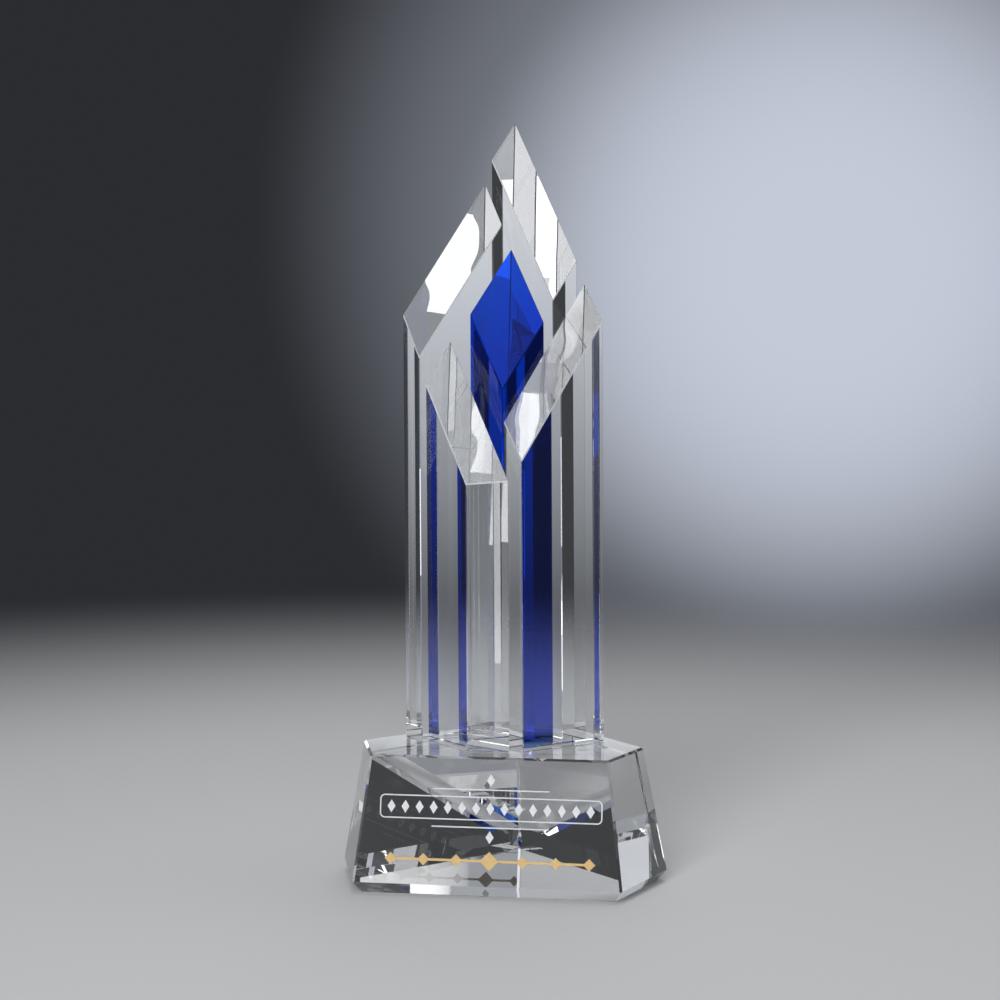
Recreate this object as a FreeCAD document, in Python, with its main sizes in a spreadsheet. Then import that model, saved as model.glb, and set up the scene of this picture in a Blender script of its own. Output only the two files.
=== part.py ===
"""Crystal tower award: five slant-topped prisms bonded upright on a five-sided crystal base.

Millimetres, +Z up. The origin is the centre of the base's footprint, on the surface it stands on,
and the engraved front wall of the base faces -Y.
"""
import FreeCAD, Part
import math
import os
import re
import Sketcher

doc = FreeCAD.newDocument("CrystalAward")

# ---------------------------------------------------------------- driving dimensions
DIMENSIONS = [
    # base block: a five-sided frustum, wide front wall, pointed at the rear
    ("base_height", 53.5),
    ("base_setback", 49.89),        # origin to the top edge of the front wall
    ("top_front_half", 47.0),       # half the top edge of the front wall
    ("top_side_half", 57.0),        # half the width across the side corners, at the top
    ("top_side_depth", 30.0),       # front edge to side corners, at the top
    ("top_rear_depth", 96.0),       # front edge to rear corner, at the top
    ("wall_taper", 9.42),           # degrees, every wall flares outward going down
    ("foot_chamfer", 4.7),
    ("base_bevel", 0.8),
    # the cluster of prisms, laid out square in a frame turned about Z
    ("cluster_x", 1.5),
    ("cluster_depth", 37.0),         # behind the top edge of the front wall
    ("cluster_turn", 45.0),
    ("slab_thickness", 12.0),
    ("prism_bevel", 0.3),
    ("bond_thickness", 0.1),
    ("core_width", 22.5),
    ("core_depth", 20.5),
    ("rear_right_length", 42.75),
    ("rear_left_length", 40.75),
    ("front_right_length", 40.0),
    ("front_left_length", 40.5),
    ("rear_right_gap", 3.5),        # face of the slab to the face of the core
    ("rear_left_gap", 8.0),
    ("front_right_gap", 1.75),
    ("front_left_gap", 4.5),
    ("rear_right_butt", 0.5),       # end of the slab to the side of the next one round
    ("rear_left_butt", 2.5),
    ("front_right_butt", 4.0),
    ("front_left_butt", 0.5),
    # slanted tops: height of the rear corner, slope, and how far the slope is turned from the front
    ("rear_right_apex", 305.8),
    ("rear_left_apex", 280.1),
    ("core_apex", 252.5),
    ("front_right_apex", 238.0),
    ("front_left_apex", 215.3),
    ("rear_right_slope", 62.4),
    ("rear_left_slope", 63.1),
    ("core_slope", 61.8),
    ("front_right_slope", 61.8),
    ("front_left_slope", 63.5),
    ("rear_right_twist", -1.0),
    ("rear_left_twist", -2.5),
    ("core_twist", -1.0),
    ("front_right_twist", 2.3),
    ("front_left_twist", 2.3),
    ("cut_reach", 60.0),
    ("cut_margin", 8.0),
    # engraving on the front wall, measured down the wall from its top edge
    ("engraving_depth", 0.3),
    ("engraving_standoff", 1.0),
    ("line_width", 0.5),
    ("ornament_shift", 1.15),       # the whole ornament sits a little right of the wall's middle
    ("plaque_drop", 19.75),
    ("plaque_width", 87.6),
    ("plaque_height", 9.2),
    ("plaque_corner", 2.0),
    ("lozenge_width", 3.2),
    ("lozenge_height", 5.0),
    ("lozenge_pitch", 5.6),
    ("lozenge_count", 15),
    ("rule_gap", 2.4),              # from the plaque to the plain rule over it
    ("rule_length", 46.0),
    ("bud_gap", 0.9),               # from the rule to the single lozenge over it
    # gold divider under the plaque
    ("divider_drop", 39.8),
    ("divider_bar", 1.0),
    ("divider_pitch", 13.0),
    ("divider_large", 7.4),
    ("divider_small", 4.8),
    ("fill_clearance", 0.03),
    ("fill_recess", 0.05),
]

sheet = doc.addObject("Spreadsheet::Sheet", "Dimensions")
for row, (alias, value) in enumerate(DIMENSIONS, start=1):
    sheet.set(f"A{row}", alias)
    sheet.set(f"B{row}", str(value))
    sheet.setAlias(f"B{row}", alias)
doc.recompute()

QUALIFIED = {alias: f"Dimensions.{alias}" for alias, value in DIMENSIONS}


def bound(expression):
    """Point every alias in an expression at the sheet."""
    return re.sub("[a-z_]+", lambda word: QUALIFIED.get(word.group(), word.group()), expression)


def value_of(expression):
    return float(sheet.evalExpression(bound(expression)))


def new_body(label):
    body = doc.addObject("PartDesign::Body", label)
    body.Label = label
    return body


def origin_plane(body, role):
    return next(item for item in body.Origin.OriginFeatures if item.Role == role)


def new_sketch(body, name, role):
    sketch = body.newObject("Sketcher::SketchObject", name)
    sketch.AttachmentSupport = [(origin_plane(body, role), "")]
    sketch.MapMode = "FlatFace"
    return sketch


def offset_sketch(sketch, axis, **expressions):
    """Bind a sketch's offset from its plane: x, y, z in the plane's own axes, and a turn about axis."""
    sketch.AttachmentOffset = FreeCAD.Placement(FreeCAD.Vector(), FreeCAD.Rotation(axis, 10))
    for key, expression in expressions.items():
        target = "Rotation.Angle" if key == "angle" else f"Base.{key}"
        sketch.setExpression(f"AttachmentOffset.{target}", bound(expression))


def pin(sketch, geometry, point, x, y):
    """Hold one point at x, y from the sketch origin, each an expression of the sheet's dimensions."""
    for kind, expression in (("DistanceX", x), ("DistanceY", y)):
        size = value_of(expression)
        if abs(size) < 1e-9:
            axis = -2 if kind == "DistanceX" else -1
            sketch.addConstraint(Sketcher.Constraint("PointOnObject", geometry, point, axis))
            continue
        ends = (-1, 1, geometry, point) if size > 0 else (geometry, point, -1, 1)
        index = sketch.addConstraint(Sketcher.Constraint(kind, *ends, abs(size)))
        signed = expression if size > 0 else f"-1 * ({expression})"
        sketch.setExpression(f"Constraints[{index}]", bound(signed))


def outline(sketch, corners):
    """Draw a closed polygon through corners, each an (x, y) pair of expressions."""
    places = [FreeCAD.Vector(value_of(x), value_of(y), 0) for x, y in corners]
    first = sketch.GeometryCount
    for start, end in zip(places, places[1:] + places[:1]):
        sketch.addGeometry(Part.LineSegment(start, end), False)
    for index, (x, y) in enumerate(corners):
        side = first + index
        previous = first + (index - 1) % len(corners)
        sketch.addConstraint(Sketcher.Constraint("Coincident", previous, 2, side, 1))
        pin(sketch, side, 1, x, y)


def pad(body, name, sketch, length, reverse=False):
    feature = body.newObject("PartDesign::Pad", name)
    feature.Profile = sketch
    feature.Reversed = reverse
    feature.setExpression("Length", bound(length))
    doc.recompute()
    return feature


def pocket(body, name, sketch, depth, symmetric=False):
    """Cut a profile out of a body, and stop if nothing was cut."""
    before = body.Shape.Volume
    feature = body.newObject("PartDesign::Pocket", name)
    feature.Profile = sketch
    feature.SideType = "Symmetric" if symmetric else "One side"
    feature.setExpression("Length", bound(depth))
    doc.recompute()
    if body.Shape.Volume > before - 0.01:
        raise RuntimeError(f"{name} cuts nothing from {body.Label}")
    return feature


def chamfer(body, name, base, edges, size):
    feature = body.newObject("PartDesign::Chamfer", name)
    feature.Base = (base, edges)
    feature.UseAllEdges = not edges
    feature.setExpression("Size", bound(size))
    doc.recompute()
    return feature


# ---------------------------------------------------------------- base block
def edges_near(shape, height):
    """Names of the edges that lie flat at a height."""
    names = []
    for index, edge in enumerate(shape.Edges, start=1):
        box = edge.BoundBox
        if abs(box.ZMin - height) < 0.01 and abs(box.ZMax - height) < 0.01:
            names.append(f"Edge{index}")
    return names


def side_faces(shape):
    """Names of the upright faces of a straight column."""
    return [f"Face{index}" for index, face in enumerate(shape.Faces, start=1)
            if face.BoundBox.ZLength > 1]


def top_face(shape):
    heights = [face.BoundBox.ZMin for face in shape.Faces]
    return f"Face{heights.index(max(heights)) + 1}"


def upright_edges(shape):
    names = []
    for index, edge in enumerate(shape.Edges, start=1):
        if edge.BoundBox.ZLength > value_of("base_height / 2"):
            names.append(f"Edge{index}")
    return names


base = new_body("base_block")
base.setExpression("Placement.Base.y", bound("-1 * base_setback"))
top_outline = new_sketch(base, "BaseTopOutline", "XY_Plane")
offset_sketch(top_outline, FreeCAD.Vector(0, 0, 1), z="base_height", angle="0")
outline(top_outline, [
    ("-1 * top_front_half", "0"),
    ("top_front_half", "0"),
    ("top_side_half", "top_side_depth"),
    ("0", "top_rear_depth"),
    ("-1 * top_side_half", "top_side_depth"),
])
base_pad = pad(base, "BaseColumn", top_outline, "base_height", reverse=True)
frustum = base.newObject("PartDesign::Draft", "BaseFrustum")
frustum.Base = (base_pad, side_faces(base_pad.Shape))
frustum.NeutralPlane = (base_pad, [top_face(base_pad.Shape)])
frustum.Reversed = False
frustum.setExpression("Angle", bound("wall_taper"))
doc.recompute()
if frustum.Shape.BoundBox.YMin > base_pad.Shape.BoundBox.YMin - 1:
    raise RuntimeError("the walls of the base do not flare outward")
foot = chamfer(base, "FootChamfer", frustum, edges_near(frustum.Shape, 0), "foot_chamfer")
polished = edges_near(foot.Shape, value_of("base_height")) + upright_edges(foot.Shape)
bevel = chamfer(base, "PolishedEdges", foot, polished, "base_bevel")


# ---------------------------------------------------------------- engraving in the front wall
def wall_sketch(body, name, drop, standoff):
    """A sketch parallel to the front wall, its origin down the wall by drop, outside it by standoff."""
    sketch = new_sketch(body, name, "XZ_Plane")
    lower = f"{drop} * cos(wall_taper * 1deg)"
    forward = f"{drop} * sin(wall_taper * 1deg)"
    offset_sketch(
        sketch,
        FreeCAD.Vector(-1, 0, 0),
        angle="wall_taper",
        x="ornament_shift",
        y=f"base_height - {lower} + {standoff} * sin(wall_taper * 1deg)",
        z=f"{forward} + {standoff} * cos(wall_taper * 1deg)",
    )
    return sketch


def rounded_rectangle(sketch, width, height, corner):
    """Draw a rectangle centred on the sketch origin, its corners rounded by arcs."""
    half_width = value_of(f"({width}) / 2")
    half_height = value_of(f"({height}) / 2")
    radius = value_of(corner)
    first = sketch.GeometryCount
    quarter = math.pi / 2
    signs = [(1, 1), (-1, 1), (-1, -1), (1, -1)]
    for index, (side_x, side_y) in enumerate(signs):
        centre = FreeCAD.Vector(side_x * (half_width - radius), side_y * (half_height - radius), 0)
        circle = Part.Circle(centre, FreeCAD.Vector(0, 0, 1), radius)
        arc = Part.ArcOfCircle(circle, index * quarter, (index + 1) * quarter)
        sketch.addGeometry(arc, False)
    for index in range(4):
        following = (index + 1) % 4
        start = sketch.getPoint(first + index, 2)
        end = sketch.getPoint(first + following, 1)
        sketch.addGeometry(Part.LineSegment(start, end), False)
    for index in range(4):
        following = first + (index + 1) % 4
        line = first + 4 + index
        sketch.addConstraint(Sketcher.Constraint("Tangent", first + index, 2, line, 1))
        sketch.addConstraint(Sketcher.Constraint("Tangent", line, 2, following, 1))
        direction = "Horizontal" if index % 2 == 0 else "Vertical"
        sketch.addConstraint(Sketcher.Constraint(direction, line))
        pin_radius = sketch.addConstraint(Sketcher.Constraint("Radius", first + index, radius))
        sketch.setExpression(f"Constraints[{pin_radius}]", bound(corner))
    inset_x = f"({width}) / 2 - ({corner})"
    inset_y = f"({height}) / 2 - ({corner})"
    pin(sketch, first, 3, inset_x, inset_y)
    pin(sketch, first + 2, 3, f"-1 * ({inset_x})", f"-1 * ({inset_y})")


CUT = "engraving_depth + engraving_standoff"
plaque = wall_sketch(base, "PlaqueLine", "plaque_drop", "engraving_standoff")
rounded_rectangle(plaque, "plaque_width", "plaque_height", "plaque_corner")
rounded_rectangle(plaque, "plaque_width - 2 * line_width", "plaque_height - 2 * line_width",
                  "plaque_corner - line_width")
pocket(base, "PlaqueGroove", plaque, CUT)

lozenge = wall_sketch(base, "LozengeOutline", "plaque_drop", "engraving_standoff")
row_start = "-1 * lozenge_pitch * (lozenge_count - 1) / 2"
outline(lozenge, [
    (f"{row_start} - lozenge_width / 2", "0"),
    (row_start, "-1 * lozenge_height / 2"),
    (f"{row_start} + lozenge_width / 2", "0"),
    (row_start, "lozenge_height / 2"),
])
lozenge_cut = pocket(base, "LozengeGroove", lozenge, CUT)
lozenge_row = base.newObject("PartDesign::LinearPattern", "LozengeRow")
lozenge_row.Originals = [lozenge_cut]
lozenge_row.Direction = (lozenge, ["H_Axis"])
lozenge_row.setExpression("Length", bound("lozenge_pitch * (lozenge_count - 1)"))
lozenge_row.setExpression("Occurrences", bound("lozenge_count"))
base.Tip = lozenge_row
doc.recompute()

rules = wall_sketch(base, "RuleLines", "plaque_drop", "engraving_standoff")
rule_foot = "plaque_height / 2 + rule_gap"
rule_top = f"{rule_foot} + line_width"
outline(rules, [
    ("-1 * rule_length / 2", rule_foot),
    ("rule_length / 2", rule_foot),
    ("rule_length / 2", rule_top),
    ("-1 * rule_length / 2", rule_top),
])
bud_foot = f"{rule_top} + bud_gap"
outline(rules, [
    ("-1 * lozenge_width / 2", f"{bud_foot} + lozenge_height / 2"),
    ("0", bud_foot),
    ("lozenge_width / 2", f"{bud_foot} + lozenge_height / 2"),
    ("0", f"{bud_foot} + lozenge_height"),
])
rules_cut = pocket(base, "RuleGrooves", rules, CUT)
rules_below = base.newObject("PartDesign::Mirrored", "RulesBelow")
rules_below.Originals = [rules_cut]
rules_below.MirrorPlane = (rules, ["H_Axis"])
base.Tip = rules_below
doc.recompute()


def divider(sketch, clearance):
    """Draw the gold divider: one bar with a large lozenge in the middle and small ones along it."""
    half_bar = f"divider_bar / 2 - {clearance}"
    upper = []
    for step in range(-3, 4):
        height = "divider_large" if step == 0 else "divider_small"
        middle = f"{step} * divider_pitch"
        flank = f"({height} - divider_bar) / 2 - (sqrt(2) - 1) * {clearance}"
        peak = f"{height} / 2 - sqrt(2) * {clearance}"
        upper += [(f"{middle} - ({flank})", half_bar), (middle, peak), (f"{middle} + {flank}", half_bar)]
    tip = f"3 * divider_pitch + divider_small / 2 - sqrt(2) * {clearance}"
    upper[0] = (f"-1 * ({tip})", "0")
    upper[-1] = (tip, "0")
    lower = [(x, f"-1 * ({y})") for x, y in reversed(upper[1:-1])]
    outline(sketch, upper + lower)


divider_line = wall_sketch(base, "DividerOutline", "divider_drop", "engraving_standoff")
divider(divider_line, "0")
pocket(base, "DividerGroove", divider_line, CUT)

fill = new_body("gold_fill")
fill.setExpression("Placement.Base.y", bound("-1 * base_setback"))
fill_line = wall_sketch(fill, "FillOutline", "divider_drop", "(fill_recess * -1)")
divider(fill_line, "fill_clearance")
pad(fill, "FillPad", fill_line, "engraving_depth - fill_recess", reverse=True)

# ---------------------------------------------------------------- prisms and their bonds
BOND_TOP = "base_height + bond_thickness"
rear_right_y = "(core_depth / 2 + rear_right_gap)"
rear_left_x = "(-1 * core_width / 2 - rear_left_gap - slab_thickness)"
front_right_x = "(core_width / 2 + front_right_gap)"
front_left_y = "(-1 * core_depth / 2 - front_left_gap - slab_thickness)"

# each prism: its start corner, its width along x and depth along y in the cluster's frame
PRISMS = {
    "core": ("blue_core", "-1 * core_width / 2", "-1 * core_depth / 2", "core_width", "core_depth"),
    "rear_right": (
        "rear_right",
        f"{front_right_x} - rear_right_butt - rear_right_length",
        rear_right_y,
        "rear_right_length",
        "slab_thickness",
    ),
    "rear_left": (
        "rear_left",
        rear_left_x,
        f"{rear_right_y} - rear_left_butt - rear_left_length",
        "slab_thickness",
        "rear_left_length",
    ),
    "front_right": (
        "front_right",
        front_right_x,
        f"{front_left_y} + slab_thickness + front_right_butt",
        "slab_thickness",
        "front_right_length",
    ),
    "front_left": (
        "front_left",
        f"{rear_left_x} + slab_thickness + front_left_butt",
        front_left_y,
        "front_left_length",
        "slab_thickness",
    ),
}


def footprint(sketch, key, width, depth, inset):
    """Draw a prism's plan; the front left slab ends in a mitre, parallel to the base's front wall."""
    far_x = f"{width} - {inset}"
    far_y = f"{depth} - {inset}"
    if key == "front_left":
        mitre_near = f"{width} - {depth} - (sqrt(2) - 1) * {inset}"
        mitre_far = f"{width} - (sqrt(2) + 1) * {inset}"
        corners = [(inset, inset), (mitre_near, inset), (mitre_far, far_y), (inset, far_y)]
    else:
        corners = [(inset, inset), (far_x, inset), (far_x, far_y), (inset, far_y)]
    outline(sketch, corners)


def place_in_cluster(body, x, y, height):
    """Stand a body's own origin at x, y of the turned cluster frame."""
    body.Placement = FreeCAD.Placement(FreeCAD.Vector(), FreeCAD.Rotation(FreeCAD.Vector(0, 0, -1), 10))
    turn_cos = "cos(cluster_turn * 1deg)"
    turn_sin = "sin(cluster_turn * 1deg)"
    body.setExpression("Placement.Rotation.Angle", bound("cluster_turn"))
    across = f"cluster_x + ({x}) * {turn_cos} + ({y}) * {turn_sin}"
    back = f"cluster_depth - base_setback - ({x}) * {turn_sin} + ({y}) * {turn_cos}"
    body.setExpression("Placement.Base.x", bound(across))
    body.setExpression("Placement.Base.y", bound(back))
    body.setExpression("Placement.Base.z", bound(height))


prisms = []
bonds = []
for key, (name, x, y, width, depth) in PRISMS.items():
    prism = new_body(f"{name}_prism")
    place_in_cluster(prism, x, y, BOND_TOP)
    plan = new_sketch(prism, f"{name}_plan", "XY_Plane")
    footprint(plan, key, width, depth, "0")
    pad(prism, f"{name}_column", plan, f"{key}_apex - ({BOND_TOP})")

    # the slanted top is cut along a plane that falls from the rear corner towards the front
    slope = new_sketch(prism, f"{name}_slope", "XZ_Plane")
    offset_sketch(
        slope,
        FreeCAD.Vector(0, -1, 0),
        angle=f"90 - cluster_turn + {key}_twist",
        y=f"{key}_apex - ({BOND_TOP})",
        z=f"-1 * ({depth})",
    )
    fall = f"tan({key}_slope * 1deg)"
    outline(slope, [
        ("-1 * cut_margin", f"cut_margin * {fall}"),
        ("cut_reach", f"-1 * cut_reach * {fall}"),
        ("cut_reach", f"cut_margin * {fall}"),
    ])
    top = pocket(prism, f"{name}_slanted_top", slope, "2 * cut_reach", symmetric=True)
    chamfer(prism, f"{name}_bevel", top, [], "prism_bevel")
    prisms.append(prism)

    bond = new_body(f"{name}_bond")
    place_in_cluster(bond, x, y, "base_height")
    bond_plan = new_sketch(bond, f"{name}_bond_plan", "XY_Plane")
    footprint(bond_plan, key, width, depth, "prism_bevel")
    pad(bond, f"{name}_bond_film", bond_plan, "bond_thickness")
    bonds.append(bond)

# ---------------------------------------------------------------- checks and files
doc.recompute()
for item in doc.Objects:
    if "Invalid" in item.State or "Error" in item.State:
        raise RuntimeError(f"{item.Name} failed: {item.State}")

os.makedirs("parts", exist_ok=True)
for body in [base, fill] + prisms + bonds:
    shape = body.Shape
    if shape.isNull() or not shape.isValid() or len(shape.Solids) != 1:
        raise RuntimeError(f"{body.Label} is not one valid solid")
    box = shape.BoundBox
    print(f"{body.Label}: volume {shape.Volume:.2f}",
          f"x {box.XMin:.2f}..{box.XMax:.2f} y {box.YMin:.2f}..{box.YMax:.2f} z {box.ZMin:.2f}..{box.ZMax:.2f}")
    shape.exportStep(f"parts/{body.Label}.step")
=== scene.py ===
"""Crystal tower award on a pale studio floor: materials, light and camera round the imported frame.

Metres, +Z up. Every shape of the award is a CAD node, and this script gives each one its surface.
"""
import math

import bpy
from mathutils import Matrix, Vector


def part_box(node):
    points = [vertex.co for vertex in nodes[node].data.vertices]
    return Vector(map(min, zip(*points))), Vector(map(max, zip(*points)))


MM = 0.001
CRYSTAL_IOR = 1.52
CLEAR_TINT = (0.985, 0.992, 1.0)
SATIN_TINT = (0.93, 0.95, 0.98)     # frosted or ground crystal
BLUE_SURFACE = (0.01, 0.08, 0.72)
BLUE_DEPTH = (0.0, 0.85, 0.985)     # how little the crystal absorbs each colour: 1 is not at all
BLUE_DENSITY = 120.0                # absorption per metre of a colour at 0
WAVE_HEIGHT = 0.35 * MM             # how far the hand-lapped slopes wander from flat
WAVE_SCALE = 40.0
SLOPE_RANGE = (0.25, 0.6)           # height of the normal on the slanted tops and on nothing broad
CLUSTER_TURN = math.radians(45)     # the prisms' plan is square in a frame turned about Z
BEVEL_LIMIT = 1.5 * MM              # flats narrower than this are edge bevels
SKIN = 0.01 * MM                    # tolerance when a face is picked out by its height
GROOVE_DEPTHS = (0.02 * MM, 0.33 * MM)      # behind the front wall, where the engraving is frosted
GROOVE_HALF_WIDTH = 46 * MM
GROOVE_LOWEST = 6 * MM
GROOVE_HEADROOM = 4 * MM            # between the highest groove and the top of the base

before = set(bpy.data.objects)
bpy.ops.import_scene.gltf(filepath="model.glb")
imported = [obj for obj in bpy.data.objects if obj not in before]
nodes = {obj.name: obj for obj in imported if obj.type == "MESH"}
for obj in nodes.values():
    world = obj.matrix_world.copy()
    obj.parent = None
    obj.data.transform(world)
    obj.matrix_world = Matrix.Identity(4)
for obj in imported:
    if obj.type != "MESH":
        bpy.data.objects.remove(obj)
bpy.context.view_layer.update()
PRISMS = [name for name in nodes if name.endswith("_prism")]
BONDS = [name for name in nodes if name.endswith("_bond")]
BASE_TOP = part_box("base_block")[1].z
FOOT_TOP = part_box("blue_core_bond")[1].z


# ---------------------------------------------------------------- node helpers
def new_material(name):
    material = bpy.data.materials.new(name)
    material.use_nodes = True
    tree = material.node_tree
    tree.nodes.clear()
    return material, tree


def add(tree, kind, *links, **settings):
    """Add a node, set its properties, and link sockets or write numbers into its first inputs."""
    node = tree.nodes.new(kind)
    for key, value in settings.items():
        setattr(node, key, value)
    for index, source in enumerate(links):
        if source is None:
            continue
        if isinstance(source, bpy.types.NodeSocket):
            tree.links.new(source, node.inputs[index])
        else:
            node.inputs[index].default_value = source
    return node


def math_node(tree, operation, *links):
    return add(tree, "ShaderNodeMath", *links, operation=operation).outputs[0]


def inside(tree, value, low, high):
    """1 where value is between low and high, else 0."""
    return math_node(tree, "COMPARE", value, (low + high) / 2, (high - low) / 2)


def position(tree):
    return add(tree, "ShaderNodeTexCoord").outputs["Object"]


def turned_plan(tree, where):
    """Coordinates along the prisms' own plan axes."""
    mapping = add(tree, "ShaderNodeMapping", where)
    mapping.inputs["Rotation"].default_value = (0, 0, CLUSTER_TURN)
    return add(tree, "ShaderNodeSeparateXYZ", mapping.outputs[0])


def fine_noise(tree, where, scale, detail=3.0):
    noise = add(tree, "ShaderNodeTexNoise", where)
    noise.inputs["Scale"].default_value = scale
    noise.inputs["Detail"].default_value = detail
    return noise.outputs["Fac"]


def remap(tree, value, from_low, from_high, to_low, to_high):
    return add(tree, "ShaderNodeMapRange", value, from_low, from_high, to_low, to_high).outputs[0]


def polished_glass(tree, where, colour, smear=0.03):
    """Polished crystal: faint wiping smears in the gloss and the slight waviness of hand lapping."""
    shader = add(tree, "ShaderNodeBsdfPrincipled")
    shader.inputs["Base Color"].default_value = (*colour, 1)
    shader.inputs["Transmission Weight"].default_value = 1.0
    shader.inputs["IOR"].default_value = CRYSTAL_IOR
    smears = fine_noise(tree, where, 35.0)
    tree.links.new(remap(tree, smears, 0.55, 0.8, 0.0, smear), shader.inputs["Roughness"])
    bump = add(tree, "ShaderNodeBump")
    facing_up = add(tree, "ShaderNodeSeparateXYZ", add(tree, "ShaderNodeNewGeometry").outputs["Normal"])
    sloped = inside(tree, facing_up.outputs["Z"], *SLOPE_RANGE)
    tree.links.new(sloped, bump.inputs["Strength"])
    bump.inputs["Distance"].default_value = WAVE_HEIGHT
    tree.links.new(fine_noise(tree, where, WAVE_SCALE, 1.0), bump.inputs["Height"])
    tree.links.new(bump.outputs[0], shader.inputs["Normal"])
    return shader


# ---------------------------------------------------------------- materials
def prism_glass(name, colour, body_colour=None, density=0.0):
    """Clear where the foot is bonded to the base, polished crystal everywhere else.

    body_colour and density tint the crystal by its depth.
    """
    material, tree = new_material(name)
    where = position(tree)
    height = add(tree, "ShaderNodeSeparateXYZ", where).outputs["Z"]
    bonded = math_node(tree, "LESS_THAN", height, FOOT_TOP + SKIN)
    glass = polished_glass(tree, where, colour)
    clear = add(tree, "ShaderNodeBsdfTransparent")
    mix = add(tree, "ShaderNodeMixShader", bonded, glass.outputs[0], clear.outputs[0])
    output = add(tree, "ShaderNodeOutputMaterial", mix.outputs[0])
    if body_colour is not None:
        depth = add(tree, "ShaderNodeVolumeAbsorption", (*body_colour, 1), density)
        tree.links.new(depth.outputs[0], output.inputs["Volume"])
    return material


def ground_edges():
    """The bevels round the slanted tops: the same crystal left satin from the grinding wheel."""
    material, tree = new_material("ground_bevel")
    where = position(tree)
    shader = add(tree, "ShaderNodeBsdfPrincipled")
    shader.inputs["Base Color"].default_value = (*SATIN_TINT, 1)
    shader.inputs["Transmission Weight"].default_value = 0.35
    shader.inputs["IOR"].default_value = CRYSTAL_IOR
    grain = fine_noise(tree, where, 3000.0)
    tree.links.new(remap(tree, grain, 0.3, 0.7, 0.2, 0.4), shader.inputs["Roughness"])
    add(tree, "ShaderNodeOutputMaterial", shader.outputs[0])
    return material


def top_bevels(mesh):
    """Faces of the upward flats less than BEVEL_LIMIT wide; flats are told apart by their direction."""
    flats = {}
    for face in mesh.polygons:
        direction = tuple(round(part, 2) for part in face.normal)
        flats.setdefault(direction, []).append(face)
    for direction, faces in flats.items():
        if direction[2] < 0.05:
            continue
        corners = [mesh.vertices[index].co for face in faces for index in face.vertices]
        length = max((corner - corners[0]).length for corner in corners)
        if sum(face.area for face in faces) < BEVEL_LIMIT * length:
            yield from faces


def footprint(name):
    """A bond's extent along the turned plan axes, read from its mesh."""
    turn = Matrix.Rotation(CLUSTER_TURN, 3, "Z")
    plan = [turn @ vertex.co for vertex in nodes[name].data.vertices]
    xs = [point.x for point in plan]
    ys = [point.y for point in plan]
    return min(xs), max(xs), min(ys), max(ys)


def front_wall():
    """The base's leaning front wall: its outward normal and its distance from the origin."""
    mesh = nodes["base_block"].data
    facing = [face for face in mesh.polygons if face.normal.y < -0.9]
    outward = max(facing, key=lambda face: face.area).normal.copy()
    return outward, max(outward.dot(vertex.co) for vertex in mesh.vertices)


def base_glass():
    """Polished crystal, clear under each bond, frosted in the engraved grooves of the front wall."""
    material, tree = new_material("base_crystal")
    where = position(tree)
    world = add(tree, "ShaderNodeSeparateXYZ", where)
    plan = turned_plan(tree, where)
    bonded = None
    for name in BONDS:
        x_low, x_high, y_low, y_high = footprint(name)
        patch = math_node(tree, "MULTIPLY", inside(tree, plan.outputs["X"], x_low, x_high),
                          inside(tree, plan.outputs["Y"], y_low, y_high))
        mitre = math_node(tree, "GREATER_THAN", world.outputs["Y"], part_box(name)[0].y)
        patch = math_node(tree, "MULTIPLY", patch, mitre)
        bonded = patch if bonded is None else math_node(tree, "MAXIMUM", bonded, patch)
    top = math_node(tree, "GREATER_THAN", world.outputs["Z"], BASE_TOP - SKIN)
    bonded = math_node(tree, "MULTIPLY", bonded, top)

    outward, offset = front_wall()
    reach = add(tree, "ShaderNodeVectorMath", where, outward, operation="DOT_PRODUCT")
    shallow, deep = GROOVE_DEPTHS
    groove = inside(tree, reach.outputs["Value"], offset - deep, offset - shallow)
    field = math_node(tree, "MULTIPLY",
                      inside(tree, world.outputs["X"], -GROOVE_HALF_WIDTH, GROOVE_HALF_WIDTH),
                      inside(tree, world.outputs["Z"], GROOVE_LOWEST, BASE_TOP - GROOVE_HEADROOM))
    groove = math_node(tree, "MULTIPLY", groove, field)

    glass = polished_glass(tree, where, CLEAR_TINT)
    frost = add(tree, "ShaderNodeBsdfPrincipled")
    grain = fine_noise(tree, where, 9000.0, 2.0)
    frost.inputs["Base Color"].default_value = (*SATIN_TINT, 1)
    frost.inputs["Transmission Weight"].default_value = 0.05
    tree.links.new(remap(tree, grain, 0.3, 0.7, 0.55, 0.85), frost.inputs["Roughness"])
    clear = add(tree, "ShaderNodeBsdfTransparent")
    etched = add(tree, "ShaderNodeMixShader", groove, glass.outputs[0], frost.outputs[0])
    mix = add(tree, "ShaderNodeMixShader", bonded, etched.outputs[0], clear.outputs[0])
    add(tree, "ShaderNodeOutputMaterial", mix.outputs[0])
    return material


def bond_film():
    """Cured adhesive of the same index as the crystal: clear, with a few pinprick bubbles."""
    material, tree = new_material("adhesive_film")
    where = position(tree)
    cells = add(tree, "ShaderNodeTexVoronoi", where)
    cells.inputs["Scale"].default_value = 260.0
    bubbles = math_node(tree, "LESS_THAN", cells.outputs["Distance"], 0.05)
    skin = add(tree, "ShaderNodeBsdfPrincipled")
    skin.inputs["Base Color"].default_value = (0.95, 0.97, 1.0, 1)
    skin.inputs["Transmission Weight"].default_value = 0.5
    skin.inputs["Roughness"].default_value = 0.3
    clear = add(tree, "ShaderNodeBsdfTransparent")
    mix = add(tree, "ShaderNodeMixShader", bubbles, clear.outputs[0], skin.outputs[0])
    add(tree, "ShaderNodeOutputMaterial", mix.outputs[0])
    return material


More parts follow.
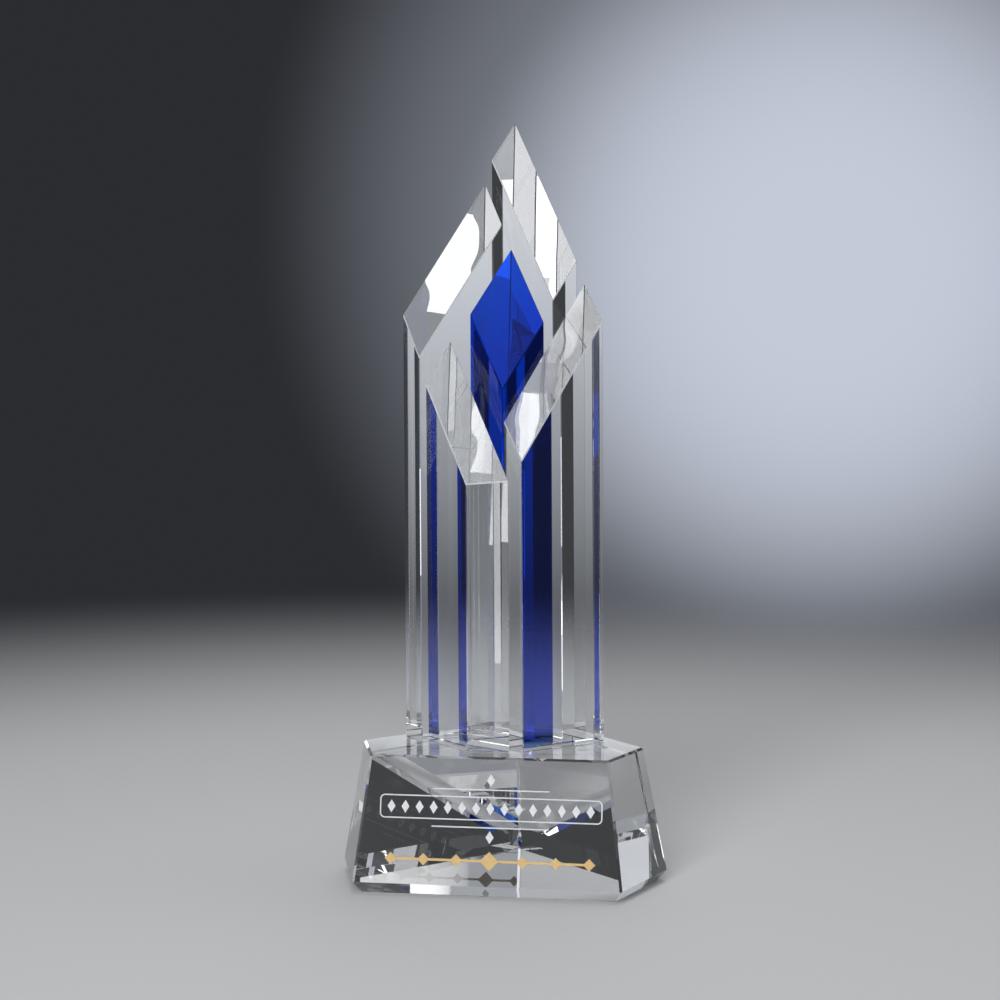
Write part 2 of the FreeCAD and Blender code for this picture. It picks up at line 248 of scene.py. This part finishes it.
def gold_paint():
    """Gold colour fill: satin, with fine metallic grain and a slightly uneven tone."""
    material, tree = new_material("gold_colour_fill")
    where = position(tree)
    shader = add(tree, "ShaderNodeBsdfPrincipled")
    tone = add(tree, "ShaderNodeMix", data_type="RGBA")
    tree.links.new(fine_noise(tree, where, 900.0), tone.inputs[0])
    tone.inputs[6].default_value = (0.88, 0.54, 0.19, 1)
    tone.inputs[7].default_value = (1.0, 0.76, 0.40, 1)
    tree.links.new(tone.outputs[2], shader.inputs["Base Color"])
    shader.inputs["Metallic"].default_value = 0.15
    grain = fine_noise(tree, where, 14000.0, 2.0)
    tree.links.new(remap(tree, grain, 0.3, 0.7, 0.3, 0.5), shader.inputs["Roughness"])
    bump = add(tree, "ShaderNodeBump")
    bump.inputs["Strength"].default_value = 0.25
    bump.inputs["Distance"].default_value = 0.02 * MM
    tree.links.new(grain, bump.inputs["Height"])
    tree.links.new(bump.outputs[0], shader.inputs["Normal"])
    add(tree, "ShaderNodeOutputMaterial", shader.outputs[0])
    return material


def dress(name, material):
    node = nodes[name]
    node.data.materials.clear()
    node.data.materials.append(material)


clear_crystal = prism_glass("clear_crystal", CLEAR_TINT)
blue_crystal = prism_glass("blue_crystal", BLUE_SURFACE, BLUE_DEPTH, BLUE_DENSITY)
adhesive = bond_film()
dress("base_block", base_glass())
dress("gold_fill", gold_paint())
bevel = ground_edges()
for name in PRISMS:
    dress(name, blue_crystal if name.startswith("blue") else clear_crystal)
    if not name.startswith("blue"):
        mesh = nodes[name].data
        mesh.materials.append(bevel)
        for face in top_bevels(mesh):
            face.material_index = 1
for name in BONDS:
    dress(name, adhesive)

# ---------------------------------------------------------------- floor, light and camera
FLOOR_SIZE = 12.0
FLOOR_GAP = 0.2 * MM                # air under the base, so that its underside reflects
FLOOR_FADE = (0.30, 1.05)           # the pale floor melts into the backdrop between these radii
PAINTED_UNDERGLOW = 0.30                    # painted glow: emission on the floor below the crystal, standing in for the light the crystal lets down onto it
PAINTED_UNDERGLOW_FADE = (0.030, 0.052)     # the painted glow dies away between these radii
LIT_LEVEL = 0.05
SEEN_LEVEL = 0.03
# soft glows on the backdrop: azimuth, elevation and spread in degrees, then brightness
LIT_GLOWS = [(-10, 18, 28, 0.85), (22, -13, 20, 0.27), (33, -18, 12, 0.6), (-117, -8, 30, 0.25),
             (180, 36, 38, 0.35)]
SEEN_GLOWS = [(-2, 1.8, 10, 0.42), (-2, 3, 15, 0.24)]
# bright cards: name, azimuth in degrees, distance, lowest and highest edge, width, brightness
CARDS = [
    ("right_rear", 36.9, 0.70, 0.0, 0.145, 0.207, 0.8),
    ("right_rear_upper", 25.6, 0.707, 0.065, 0.145, 0.071, 0.8),
    ("right_rear_edge", 19.4, 0.73, 0.04, 0.12, 0.036, 0.9),
    ("right_rear_low", 35.0, 0.45, 0.0, 0.055, 0.13, 1.1),
    ("left_front", -117, 0.60, 0.0, 0.28, 0.40, 0.5),
]
LIGHT_BOUNCES = 32                  # reflections inside the crystal count as glossy bounces
CLEAR_BOUNCES = 48


def heading(azimuth, elevation):
    """Unit vector at these degrees: azimuth from +Y towards +X, elevation up from level."""
    turn, rise = math.radians(azimuth), math.radians(elevation)
    return Vector((math.sin(turn) * math.cos(rise), math.cos(turn) * math.cos(rise), math.sin(rise)))


def studio_floor():
    mesh = bpy.data.meshes.new("studio_floor")
    half = FLOOR_SIZE / 2
    corners = [(-half, -half, 0), (half, -half, 0), (half, half, 0), (-half, half, 0)]
    mesh.from_pydata(corners, [], [(0, 1, 2, 3)])
    floor = bpy.data.objects.new("studio_floor", mesh)
    floor.location.z = -FLOOR_GAP
    bpy.context.scene.collection.objects.link(floor)
    material, tree = new_material("studio_floor")
    shader = add(tree, "ShaderNodeBsdfPrincipled")
    shader.inputs["Base Color"].default_value = (0.78, 0.79, 0.80, 1)
    shader.inputs["Specular IOR Level"].default_value = 0.0
    radius = add(tree, "ShaderNodeVectorMath", position(tree), operation="LENGTH").outputs["Value"]
    # painted light: white emission on the floor, strongest under the base and fading out by radius,
    # stands in for light let down through the crystal
    shader.inputs["Emission Color"].default_value = (1, 1, 1, 1)
    glow = remap(tree, radius, *PAINTED_UNDERGLOW_FADE, PAINTED_UNDERGLOW, 0.0)
    tree.links.new(glow, shader.inputs["Emission Strength"])
    beyond = add(tree, "ShaderNodeBsdfTransparent")
    fade = add(tree, "ShaderNodeMapRange", radius, *FLOOR_FADE, 0.0, 1.0,
               interpolation_type="SMOOTHSTEP").outputs[0]
    mix = add(tree, "ShaderNodeMixShader", fade, shader.outputs[0], beyond.outputs[0])
    add(tree, "ShaderNodeOutputMaterial", mix.outputs[0])
    mesh.materials.append(material)


def softbox(name, place, target, width, height, level):
    """A soft rectangular light of this brightness, hidden from the camera itself."""
    light = bpy.data.lights.new(name, "AREA")
    light.shape = "RECTANGLE"
    light.size = width
    light.size_y = height
    light.energy = level * math.pi * width * height
    lamp = bpy.data.objects.new(name, light)
    lamp.location = place
    lamp.rotation_mode = "QUATERNION"
    lamp.rotation_quaternion = (Vector(target) - Vector(place)).to_track_quat("-Z", "Y")
    bpy.context.scene.collection.objects.link(lamp)
    lamp.visible_camera = False
    return lamp


def card(name, azimuth, distance, low, high, width, level):
    """An upright bright card between two heights, facing the award; only the crystal picks it up."""
    middle = Vector((0, 0, (low + high) / 2))
    lamp = softbox(name, middle + heading(azimuth, 0) * distance, middle, width, high - low, level)
    lamp.visible_diffuse = False


def glow_level(tree, direction, level, glows):
    """A plain level with these soft glows on it."""
    for azimuth, elevation, spread, strength in glows:
        towards = add(tree, "ShaderNodeVectorMath", direction, heading(azimuth, elevation),
                      operation="DOT_PRODUCT").outputs["Value"]
        glow = add(tree, "ShaderNodeMapRange", towards, math.cos(math.radians(spread)), 1.0,
                   0.0, strength, interpolation_type="SMOOTHSTEP").outputs[0]
        level = math_node(tree, "ADD", glow, level)
    return level


def studio_world():
    """A light backdrop for the crystal; seen directly, it is a dark grey with one soft glow."""
    world = bpy.data.worlds.new("studio")
    world.use_nodes = True
    tree = world.node_tree
    tree.nodes.clear()
    direction = add(tree, "ShaderNodeTexCoord").outputs["Generated"]
    lit_level = glow_level(tree, direction, LIT_LEVEL, LIT_GLOWS)
    lit = add(tree, "ShaderNodeBackground", (0.91, 0.945, 1.0, 1), lit_level)
    seen_level = glow_level(tree, direction, SEEN_LEVEL, SEEN_GLOWS)
    seen = add(tree, "ShaderNodeBackground", (0.80, 0.86, 1.0, 1), seen_level)
    camera_ray = add(tree, "ShaderNodeLightPath").outputs["Is Camera Ray"]
    backdrop = add(tree, "ShaderNodeMixShader", camera_ray, lit.outputs[0], seen.outputs[0])
    add(tree, "ShaderNodeOutputWorld", backdrop.outputs[0])
    bpy.context.scene.world = world


def photo_camera():
    yaw, pitch, roll = math.radians(10.41), math.radians(2.84), math.radians(-0.33)
    distance, sideways, height = 0.8957, -0.00388, 0.2149
    ahead = Vector((-math.sin(yaw), math.cos(yaw), 0))
    right = Vector((math.cos(yaw), math.sin(yaw), 0))
    up = Vector((0, 0, 1))
    place = up * height - ahead * distance + right * sideways
    look = ahead * math.cos(pitch) - up * math.sin(pitch)
    lift = up * math.cos(pitch) + ahead * math.sin(pitch)
    side = right * math.cos(roll) + lift * math.sin(roll)
    lift = lift * math.cos(roll) - right * math.sin(roll)
    data = bpy.data.cameras.new("camera")
    data.sensor_width = 36.0
    data.lens = 79.2
    data.shift_y = -0.05
    data.clip_start = 0.05
    camera = bpy.data.objects.new("camera", data)
    pose = Matrix((side, lift, -look)).transposed().to_4x4()
    pose.translation = place
    camera.matrix_world = pose
    bpy.context.scene.collection.objects.link(camera)
    bpy.context.scene.camera = camera


studio_floor()
studio_world()
photo_camera()
softbox("overhead", place=(0.10, 0.15, 0.95), target=(0, 0, 0), width=0.6, height=0.6, level=2.2)
fill = softbox("front_fill", place=(-0.1, -1.6, 0.9), target=(0, 0, 0.15), width=1.0, height=1.0, level=6)
fill.visible_glossy = False
fill.visible_transmission = False
for settings in CARDS:
    card(*settings)

bpy.context.scene.view_settings.view_transform = "Standard"
cycles = bpy.context.scene.cycles
cycles.max_bounces = LIGHT_BOUNCES
cycles.transmission_bounces = LIGHT_BOUNCES
cycles.glossy_bounces = LIGHT_BOUNCES
cycles.transparent_max_bounces = CLEAR_BOUNCES
